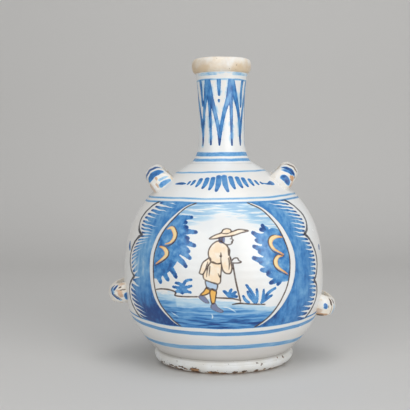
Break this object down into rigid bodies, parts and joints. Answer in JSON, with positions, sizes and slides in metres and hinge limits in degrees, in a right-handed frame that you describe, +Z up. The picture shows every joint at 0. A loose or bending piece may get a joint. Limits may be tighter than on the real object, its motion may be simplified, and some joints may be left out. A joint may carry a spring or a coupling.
{
  "type": "faience bottle",
  "caption": "Tin-glazed earthenware bottle with a round belly on a foot ring, a tall neck with a rolled mouth, and strap loops on its sides for a carrying cord.",
  "frame": {"origin": "centre of the foot ring's standing face, on the table", "axes": "+Z up through the mouth, -Y towards the viewer of the painted front, X through the cord loops"},
  "size_m": [0.1887, 0.164, 0.248],
  "materials": {
    "painted_glaze": "glossy white tin glaze painted in blue, brown and ochre",
    "worn_glaze": "glossy white tin glaze, rubbed and chipped to tan clay",
    "striped_glaze": "glossy white tin glaze with blue cross strokes, worn at the bends"
  },
  "bodies": {
    "root": {"belly": "painted_glaze", "neck": "painted_glaze", "mouth_roll": "worn_glaze", "foot_ring": "worn_glaze", "upper_left_loop": "striped_glaze", "upper_right_loop": "striped_glaze", "lower_left_loop": "striped_glaze", "lower_right_loop": "striped_glaze"}
  },
  "joints": []
}
